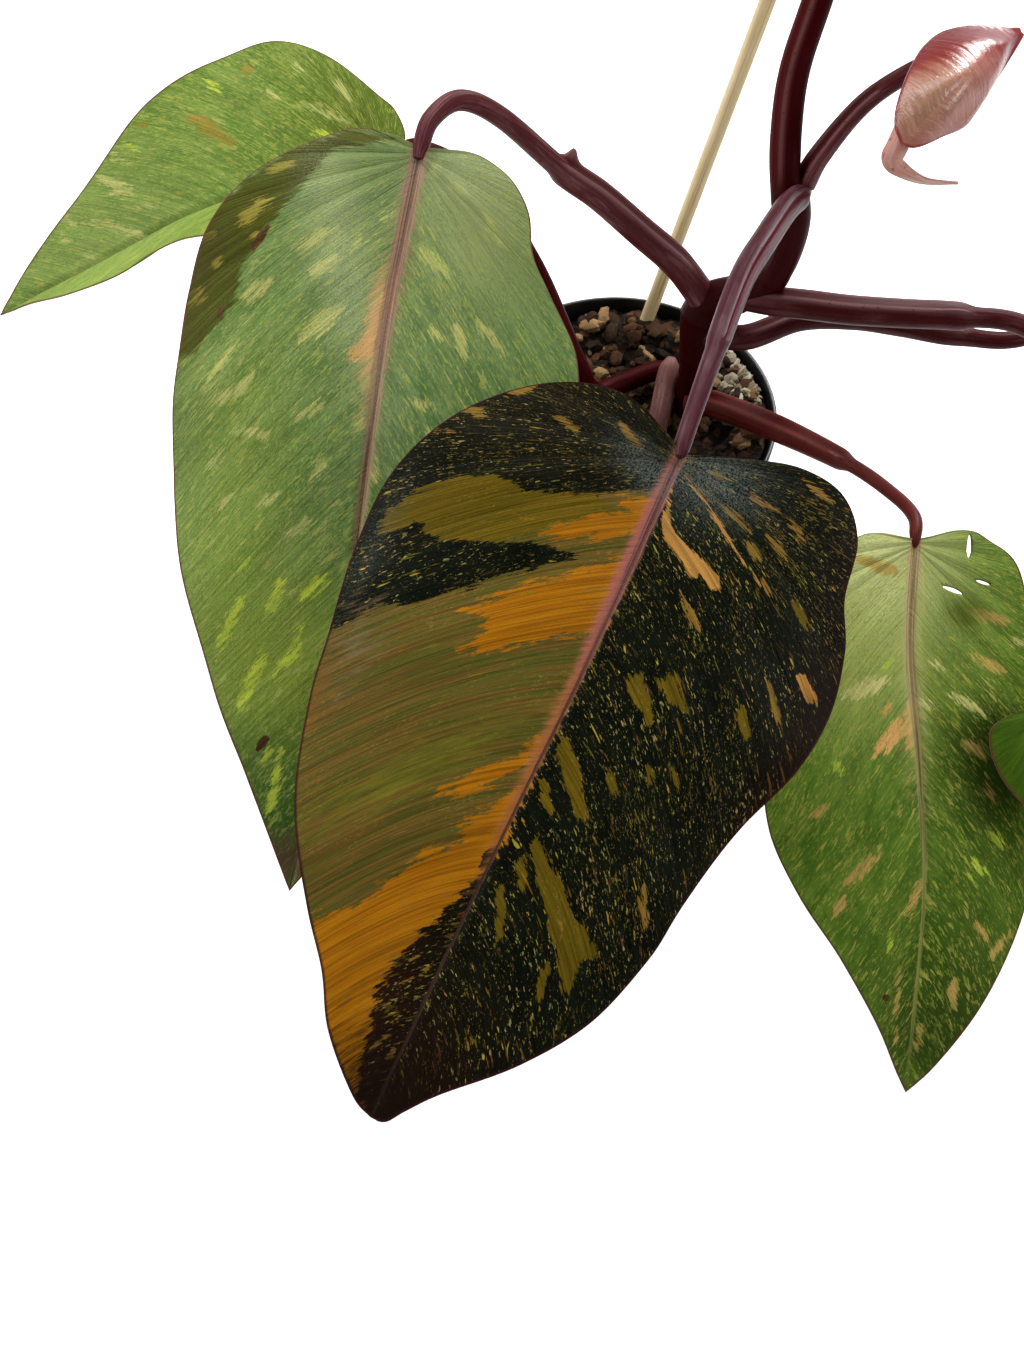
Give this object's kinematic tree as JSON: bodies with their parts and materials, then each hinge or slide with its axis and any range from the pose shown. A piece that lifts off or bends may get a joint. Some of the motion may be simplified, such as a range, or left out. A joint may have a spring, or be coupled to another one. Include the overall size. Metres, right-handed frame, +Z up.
{
  "type": "potted orange princess philodendron",
  "caption": "Heart-shaped, variegated philodendron leaves on dark arching petioles, with an unfurling pink leaf and a bamboo stake, rooted in a black tapered nursery pot.",
  "frame": {"origin": "middle of the underside of the pot's base", "axes": "+Z up, -Y towards the front where the two largest leaves hang over the rim, +X to the plant's right"},
  "size_m": [0.5493, 0.4655, 0.3506],
  "materials": {
    "pot": "black, slightly glossy",
    "soil": "dark brown chunky bark mix with pale grains",
    "bamboo": "pale tan cane, satin",
    "stem": "dark maroon, smooth, with ringed nodes",
    "petiole": "dark maroon, smooth, half gloss",
    "dark_blade": "near-black green with orange and olive sectors along the side veins, half gloss",
    "green_blade": "mid green with cream and ochre splashes along the side veins, half gloss",
    "new_blade": "glossy pink-red, still rolled"
  },
  "bodies": {
    "root": {"pot": "pot", "soil": "soil", "stem": "stem", "stake": "bamboo", "petiole_stub": "petiole", "top_leaf_petiole": "petiole", "front_leaf_petiole": "petiole", "new_leaf_petiole": "petiole", "left_leaf_petiole": "petiole", "right_edge_leaf_petiole": "petiole", "back_right_leaf_petiole": "petiole", "right_leaf_petiole": "petiole", "back_left_leaf_petiole": "petiole", "front_leaf_blade": "dark_blade", "left_leaf_blade": "green_blade", "back_left_leaf_blade": "green_blade", "right_leaf_blade": "green_blade", "right_edge_leaf_blade": "green_blade", "back_right_leaf_blade": "green_blade", "top_leaf_blade": "green_blade", "new_leaf_blade": "new_blade"}
  },
  "joints": []
}
